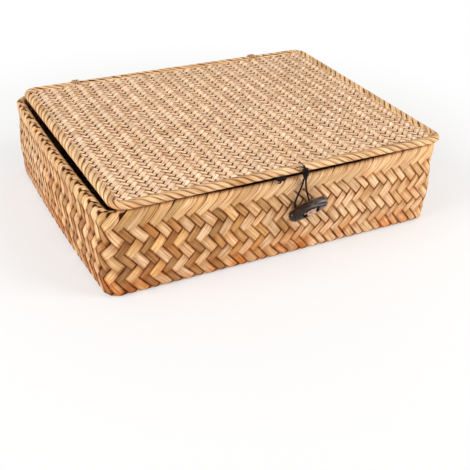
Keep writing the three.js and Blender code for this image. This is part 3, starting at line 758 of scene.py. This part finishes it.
wall_columns, wall_step, wall_foot = 112, 6.45 * mm, 4.9 * mm
length_round_tub = 1191.7
wall_spacing = length_round_tub / wall_columns * mm
rise_steps = (-1.3, -1.12, -0.97, -0.8, -0.6, -0.3)
fall_steps = (0.1, 0.5, 0.8, 0.95, 1.02)
wall_blade = blade_pattern("wall_blade", rise_steps, fall_steps, 6)
tub_plait = {
    "outline": tub_outline, "profile": tub_section, "wrapped": True, "columns": wall_columns,
    "spacing": wall_spacing, "step": wall_step, "foot": wall_foot, "shift": -1.54 * mm,
    "start": tub_start * mm, "thickness": 1.05 * mm, "unevenness": 3.4 * mm, "wide": 0.16,
    "bold": 0.14, "sided": -0.45, "side_lines": 0.85, "line_width": 0.06, "end_lines": 2.4, "tuck": 0.16,
}
walls = grown(
    "wall_plait", wall_blade, plait, rows=6, first_row=-1, seed=3, material=wall_grass, **tub_plait
)
stands_for(walls, "tub", "body_outer_shell")


# Tub rim: the wall's blades run up over a steel wire and down the inside, where they are tucked in.
# At the sides and back each narrows as it bends, which leaves small slots below the rim, darkened by
# painted shade.
fold_grass = grass_surface("fold_grass", [
    (0.80, 0.52, 0.27), (0.74, 0.47, 0.235), (0.77, 0.50, 0.28), (0.72, 0.43, 0.20),
    (0.70, 0.43, 0.21), (0.62, 0.38, 0.17), (0.68, 0.40, 0.17), (0.55, 0.32, 0.13),
], 0.9, 1.0)
fold_lengths = [-5.4 + 0.2 * step for step in range(27)]
fold_blade = blade_pattern("fold_blade", fold_lengths, fall_steps, 5, crown=0.18)
rim_folds = grown(
    "rim_folds", fold_blade, plait, rows=1, first_row=5, slots=0.75, seed=3, material=fold_grass,
    **tub_plait | {"side_lines": 0.22, "tuck": 0.0},
)
stands_for(rim_folds, "tub", "body_rim_binding")


# Settled front: with use, the plaited front wall has sunk a little under the closure, which opens a
# dark line below the lid there. The wall's foot and both corners stay where they are.
settle_from, settle_height, settle_middle, settle_reach = 45, 33, 15, 118
settle_drop, settle_draw_in = 4.2 * mm, 0.8 * mm
front_starts, front_fade = 100, 20


def settle(piece):
    """Lower the upper part of the tub's front wall by up to the drop, and draw it in."""
    for vertex in piece.data.vertices:
        x, y, z = vertex.co / mm
        height = min(max((z - settle_from) / settle_height, 0), 1)
        front = min(max((-y - front_starts) / front_fade, 0), 1)
        share = height**3 * front * math.exp(-(((x - settle_middle) / settle_reach) ** 4))
        vertex.co.y += settle_draw_in * share
        vertex.co.z -= settle_drop * share


for piece in (walls, rim_folds):
    settle(piece)


# Lining: a second plait inside the tub, coarser to the touch and duller, that meets the rim folds.
# It runs down the walls and over the floor, and the underside shows the outer plait's flat rows.
lining_grass = grass_surface("lining_grass", [
    (0.60, 0.38, 0.18), (0.54, 0.33, 0.14), (0.50, 0.32, 0.15), (0.46, 0.28, 0.12),
    (0.40, 0.25, 0.11), (0.36, 0.23, 0.10),
], 0.7, 1.0, foot=0.2)
plain_blade = blade_pattern("plain_blade", (-1.25, -0.97, -0.7, -0.3), (0.3, 0.8, 1.02), 3)
lining = grown(
    "lining_plait", plain_blade, plait, rows=5, first_row=8, seed=5, material=lining_grass, **tub_plait
)
settle(lining)
stands_for(lining, "tub", "body_lining")


def flat_plait(name, blade, plane, shape, body, node, slot, climb=0.0, **values):
    """Plait laid out flat on a plane, trimmed to a rounded rectangle, that climbs at its border."""
    made = grown(name, blade, plait, wrapped=False, start=0.0, **values)
    half_length, half_depth, radius, centre_x, centre_y = (size * mm for size in shape)
    border = 4.5 * mm
    mesh = bmesh.new()
    mesh.from_mesh(made.data)
    outside = []
    for vertex in mesh.verts:
        vertex.co = plane @ vertex.co
        over_x = abs(vertex.co.x - centre_x) - (half_length - radius)
        over_y = abs(vertex.co.y - centre_y) - (half_depth - radius)
        inside = radius - math.hypot(max(over_x, 0), max(over_y, 0)) - min(max(over_x, over_y), 0)
        near = min(max(1 - inside / border, 0), 1)
        vertex.co.z += climb * near * near * (3 - 2 * near)
        if inside < 0:
            outside.append(vertex)
    bmesh.ops.delete(mesh, geom=outside, context="VERTS")
    mesh.to_mesh(made.data)
    mesh.free()
    stands_for(made, body, node)


def laid_out(columns_way, rows_way, corner):
    """A plane on which the columns and rows of a plait run these ways from a corner in millimetres."""
    columns_way, rows_way = Vector(columns_way), Vector(rows_way)
    turned = Matrix((columns_way, rows_way, columns_way.cross(rows_way))).transposed().to_4x4()
    return Matrix.Translation([size * mm for size in corner]) @ turned


floor_up = laid_out((1, 0, 0), (0, 1, 0), (-180, -140, 4.3))
floor_down = laid_out((1, 0, 0), (0, -1, 0), (-180, 140, 0.5))
floor_rows = {
    "rows": 24, "first_row": -1, "columns": 34, "spacing": wall_spacing, "step": wall_step,
    "foot": wall_foot, "shift": 0.0, "thickness": 0.9 * mm, "unevenness": 2.0 * mm, "wide": 0.1,
    "side_lines": 1.0, "line_width": 0.06,
}
flat_plait("floor_plait", plain_blade, floor_up, (166.5, 130.5, 12, 0, 0), "tub", "body_lining",
           "lining_grass", seed=6, material=lining_grass, **floor_rows)
flat_plait("underside_plait", plain_blade, floor_down, (158, 122, 10, 0, 0), "tub", "body_outer_shell",
           "wall_grass", seed=7, material=wall_grass, **floor_rows)


# Painted shade of the plait: a near-black sheet stands in for the blades crossing in shadow behind the
# floats.
# One thin inner skin for each plaited layer closes the gaps.
shade_sheet = new_surface("plait_hollows", 0.9, Specular_IOR_Level=0.05)
speck = noise(place_on(shade_sheet), 900.0, 3.0)
dress(shade_sheet, blended(speck, (0.012, 0.004, 0.001, 1), (0.06, 0.022, 0.007, 1)), speck, 0.3 * mm)
slice_width, slices_each_way = 10 * mm, 15


def mesh_from(name, shape):
    """A mesh with the faces of a worked shape, which is used up."""
    data = bpy.data.meshes.new(name)
    shape.to_mesh(data)
    shape.free()
    return data


def inner_skin(name, node, depth, body, material=shade_sheet):
    """A copy of a CAD layer drawn in by a depth, and sliced finely enough to settle with the plait."""
    shape = bmesh.new()
    shape.from_mesh(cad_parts[node].data)
    bmesh.ops.remove_doubles(shape, verts=shape.verts, dist=0.01 * mm)
    shape.normal_update()
    for vertex in shape.verts:
        vertex.co -= vertex.normal * depth * vertex.calc_shell_factor()
    for cut in range(-slices_each_way, slices_each_way + 1):
        whole = [*shape.verts, *shape.edges, *shape.faces]
        bmesh.ops.bisect_plane(shape, geom=whole, plane_co=(cut * slice_width, 0, 0), plane_no=(1, 0, 0))
    data = mesh_from(name, shape)
    data.materials.append(material)
    made = added(name, data)
    stands_for(made, body, node)
    return made


settle(inner_skin("wall_skin", "body_outer_shell", 0.85 * mm, "tub"))
settle(inner_skin("lining_skin", "body_lining", 0.7 * mm, "tub"))
settle(inner_skin("rim_skin", "body_rim_binding", 0.72 * mm, "tub"))
inner_skin("lid_skin", "lid_panel", 0.5 * mm, "lid")
inner_skin("lid_lining_skin", "lid_lining", 0.4 * mm, "lid")

# The lid's rim is flatter below its wire than above it, and its skin a little more than its folds.
lid_rim_z, skin_flatness, fold_flatness = 87.9, 0.74, 0.8
for vertex in inner_skin("lid_rim_skin", "lid_rim_binding", 0.69 * mm, "lid").data.vertices:
    if vertex.co.z < lid_rim_z * mm:
        vertex.co.z = lid_rim_z * mm - (lid_rim_z * mm - vertex.co.z) * skin_flatness


# Lid: one flat panel plaited in narrower, paler blades, its rows running front to back. The steel
# rim wire is wrapped in slanting folds all round, and the underside has a plait of its own.
lid_grass = grass_surface("lid_grass", [
    (0.96, 0.73, 0.51), (0.92, 0.66, 0.43), (0.95, 0.70, 0.50), (0.87, 0.62, 0.41),
    (0.94, 0.68, 0.47), (0.97, 0.75, 0.53), (0.88, 0.60, 0.39), (0.92, 0.67, 0.46),
], 0.6, 2.3, 0.18 * mm, 0.2)
lid_rows = {
    "rows": 51, "first_row": -1, "columns": 40, "spacing": 7.25 * mm, "step": 3.45 * mm,
    "foot": -3.875 * mm, "shift": 0.0, "thickness": 0.8 * mm, "unevenness": 2.6 * mm,
    "wide": 0.0, "bold": 0.0, "sided": 0.85, "line_width": 0.08, "tuck": 0.05,
}
lid_blade = blade_pattern("lid_blade", (-1.25, -1.0, -0.7, -0.2), (0.3, 0.75, 0.95, 1.02), 3)
lid_up = laid_out((0, 1, 0), (-1, 0, 0), (170, -145, 89.6))
lid_down = laid_out((0, -1, 0), (-1, 0, 0), (170, 145, 86.2))
flat_plait("lid_plait", lid_blade, lid_up, (164.4, 130.9, 10.4, 6, -0.5), "lid", "lid_panel", "lid_grass",
           climb=1.2 * mm, seed=11, material=lid_grass, side_lines=0.3, **lid_rows)
flat_plait("lid_underside", plain_blade, lid_down, (163.2, 129.7, 9.5, 6, -0.5), "lid", "lid_lining",
           "lining_grass", seed=12, material=lining_grass, side_lines=1.0, **lid_rows)
lid_outline = line_object("lid_outline", [rounded_outline(168, 134.5, 14, 0, (6, -0.5))], closed=True)
lid_section = section_line("lid_section", [
    (10.8, 86.5), (9.0, 85.8), (6.8, 85.4),
    *[(inset, z if z > lid_rim_z else lid_rim_z - (lid_rim_z - z) * fold_flatness)
      for inset, z in arc_points(3.5, lid_rim_z, 3.4, 270, 90, 18)],
    (4.2, 91.2), (6.2, 90.6), (8.2, 90.2), (10.5, 89.2),
])
lid_fold_grass = grass_surface("lid_fold_grass", [
    (0.88, 0.61, 0.36), (0.80, 0.52, 0.28), (0.86, 0.59, 0.36), (0.76, 0.48, 0.25), (0.84, 0.56, 0.31),
], 0.8, 1.2)
lid_fold = blade_pattern("lid_fold", [-4.7 + 0.25 * step for step in range(19)],
                         [0.05 + 0.25 * step for step in range(19)], 5, crown=0.17)
lid_fold_columns = 128
length_round_lid = 1179.9
lid_folds = grown(
    "lid_rim_folds", lid_fold, plait, outline=lid_outline, profile=lid_section, wrapped=True,
    rows=1, first_row=0, columns=lid_fold_columns, spacing=length_round_lid / lid_fold_columns * mm,
    step=2.8 * mm, foot=7.5 * mm, shift=0.0, start=2.8 * mm, thickness=0.8 * mm,
    unevenness=1.0 * mm, wide=0.0, side_lines=0.45, line_width=0.08, extra=3.5, seed=14,
    material=lid_fold_grass,
)
stands_for(lid_folds, "lid", "lid_rim_binding")


# Toggle: a turned peg of dark hardwood with rounded ends and two drilled holes. It is oiled, its
# grain runs along it, and the edges of the holes are eased by hand.
toggle_centre = Vector((17.8, -143.96, 52.4))
toggle_tilt = math.radians(15.2)
toggle_frame = Matrix.Translation(toggle_centre * mm) @ Matrix.Rotation(-toggle_tilt, 4, "Y")


def turned_mesh(name, profile, sides, place):
    """A closed solid turned about its length; the profile gives (along, radius) in millimetres."""
    shape = bmesh.new()
    rings = []
    for along, radius in profile:
        turns = [math.tau * side / sides for side in range(sides if radius else 1)]
        rings.append([shape.verts.new(place @ Vector((
            along, radius * math.cos(turn), radius * math.sin(turn),
        ))) for turn in turns])
    for first, second in zip(rings, rings[1:]):
        for side in range(sides):
            corners = [
                first[side % len(first)], second[side % len(second)],
                second[(side + 1) % len(second)], first[(side + 1) % len(first)],
            ]
            shape.faces.new(list(dict.fromkeys(corners)))
    bmesh.ops.recalc_face_normals(shape, faces=shape.faces)
    data = mesh_from(name, shape)
    data.shade_smooth()
    return bpy.data.objects.new(name, data)


in_mm = toggle_frame @ Matrix.Scale(mm, 4)
toggle_half, toggle_radius, toggle_end, rounding, end_steps = 19.3, 6.4, 4.7, 3.2, 8
left_end = [(-toggle_half + rounding * (1 - math.cos(turn)), toggle_end - rounding * (1 - math.sin(turn)))
            for turn in (math.radians(90 * step / end_steps) for step in range(end_steps + 1))]
barrel = [(along, toggle_radius - (toggle_radius - toggle_end) * (along / toggle_half) ** 2)
          for along in range(-16, 17, 2)]
profile = [(-toggle_half, 0), *left_end, *barrel, *[(-along, radius) for along, radius in left_end[::-1]],
           (toggle_half, 0)]
peg = turned_mesh("toggle_peg", profile, 64, in_mm)
hole_along = 6.4
drill = [(-9, 0), (-9, 5), (-6.6, 2.9), (-5.8, 2.5), (5.8, 2.5), (6.6, 2.9), (9, 5), (9, 0)]
across_peg = Matrix.Rotation(math.pi / 2, 4, "Z")
for side in (-1, 1):
    bit_place = in_mm @ Matrix.Translation((side * hole_along, 0, 0)) @ across_peg
    cut = peg.modifiers.new("hole", "BOOLEAN")
    cut.object = turned_mesh("drill", drill, 40, bit_place)
    cut.operation = "DIFFERENCE"
    cut.solver = "EXACT"
bpy.context.scene.collection.objects.link(peg)
peg_mesh = bpy.data.meshes.new_from_object(peg.evaluated_get(bpy.context.evaluated_depsgraph_get()))
bpy.data.objects.remove(peg)
peg_mesh.set_sharp_from_angle(angle=math.radians(38))
toggle = added("toggle_peg", peg_mesh)
stands_for(toggle, "toggle_and_tie", "toggle")
wood = new_surface("toggle_wood", 0.3, Specular_IOR_Level=0.5)
place = place_on(wood)
turned_place = put(wood.node_tree, "ShaderNodeMapping", {
    "Vector": place, "Location": tuple(-toggle_centre * mm),
}).outputs[0]
grain = noise(put(wood.node_tree, "ShaderNodeMapping", {
    "Vector": turned_place, "Rotation": (0, toggle_tilt, 0), "Scale": (40, 700, 700),
}).outputs[0], 1.0, 4.0)
patch = noise(place, 160.0)
streak = ranged(grain, 0.42, 0.68)
dark_wood = blended(streak * (patch * 0.9 + 0.25), (0.008, 0.003, 0.002, 1), (0.062, 0.022, 0.012, 1))
# Painted highlight: the peg's right end is paler along its streaks, standing in for the lamp's sheen
# there.
right_end_highlight = ranged(parts(turned_place)[0], -5 * mm, 13 * mm, most=0.8)
highlight_tint = (0.33, 0.25, 0.24, 1)
dress(wood, blended(right_end_highlight * streak, dark_wood, highlight_tint), grain, 0.12 * mm, grain * 0.3 + 0.15)
toggle.data.materials.clear()
toggle.data.materials.append(wood)


# Tie: pale split grass laid flat across the toggle's front from hole to hole, with both ends drawn
# back through the holes, joined, and pulled through the wall to a knot inside.
straw = new_surface("tie_straw", 0.6)
fleck = noise(put(straw.node_tree, "ShaderNodeMapping", {
    "Vector": place_on(straw), "Rotation": (0, toggle_tilt, 0), "Scale": (500, 1500, 1500),
}).outputs[0], 1.0, 3.0)
flecked = ranged(fleck, 0.36, 0.62)
dress(straw, blended(flecked, (0.22, 0.12, 0.07, 1), (0.76, 0.52, 0.37, 1)), fleck, 0.15 * mm)
band = bmesh.new()
strands, lengths, sides = 4, 26, 6
band_half, strand_angle, strand_thickness = 4.7, 11.5, 0.55
for strand in range(strands):
    rows = []
    for step in range(lengths + 1):
        share = 2 * step / lengths - 1
        into = max(abs(share) - 0.8, 0) / 0.2
        drawn_together = 1 - 0.3 * share**2 - 0.2 * into
        middle = math.radians(strand_angle * (strand - (strands - 1) / 2) * drawn_together)
        half_width = 0.1 * (1 - 0.3 * into)
        radius = 6.75 + 0.25 * (1 - share**2) - 3.0 * into**2
        row = []
        for side in range(sides + 1):
            over = 2 * side / sides - 1
            turn = middle + half_width * over
            reach = radius + strand_thickness * (1 - abs(over) ** 3) + 0.15 * ((strand * 7) % 3)
            place = Vector((band_half * share, -reach * math.cos(turn), reach * math.sin(turn)))
            row.append(band.verts.new(in_mm @ place))
        rows.append(row)
    for first, second in zip(rows, rows[1:]):
        for side in range(sides):
            band.faces.new((first[side], second[side], second[side + 1], first[side + 1]))
bmesh.ops.recalc_face_normals(band, faces=band.faces)
band_mesh = mesh_from("tie_band", band)
band_mesh.shade_smooth()
band_mesh.materials.append(straw)
tie_band = added("tie_band", band_mesh)
leg_along, leg_front_y, rear_y = 5.7, -4.2, 7.3
tie_loop = smooth_route([in_mm @ Vector(point) for point in (
    (-leg_along, leg_front_y, 0), (-leg_along, 0, 0), (-leg_along, 6, 0), (-leg_along + 0.6, rear_y, 0),
    (0, rear_y + 0.2, 0), (leg_along - 0.6, rear_y, 0), (leg_along, 6, 0), (leg_along, 0, 0),
    (leg_along, leg_front_y, 0),
)], 6)
shank = [Vector((toggle_centre.x, y, toggle_centre.z)) * mm for y in (-136.6, -133, -130, -127)]
tie_line = line_object("tie_line", [tie_loop, shank])
tie_cord = grown("tie_twist", tie_line, cord_shape, radius=1.35 * mm, lay=9 * mm, material=straw)
inner_knot = (toggle_centre.x, -126.06, toggle_centre.z)
knot_line = line_object("tie_knot_line", [
    wound(inner_knot, (1.9, 1.5, 1.9), 0, 3), wound(inner_knot, (1.6, 1.2, 1.6), 2, 2),
])
tie_knot = grown("tie_knot", knot_line, cord_shape, radius=0.8 * mm, lay=6 * mm, material=straw)
for piece in (tie_band, tie_cord, tie_knot):
    stands_for(piece, "toggle_and_tie", "toggle_tie")


# Rim wires: mild steel rod inside both rims, seen only where a fold has parted. It is drawn wire,
# dull grey with brown specks of rust.
steel = new_surface("rim_steel", 0.45, Metallic=1.0)
rust = noise(place_on(steel), 700.0, 4.0)
rusted = ranged(rust, 0.55, 0.7)
dress(steel, blended(rusted, (0.40, 0.39, 0.37, 1), (0.16, 0.07, 0.03, 1)), rust, 0.05 * mm)
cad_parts["lid_rim_wire"].material_slots[0].material = steel
tub_wire = inner_skin("tub_rim_wire", "body_rim_wire", 0.0, "tub", steel)
tub_wire.data.shade_smooth()
settle(tub_wire)
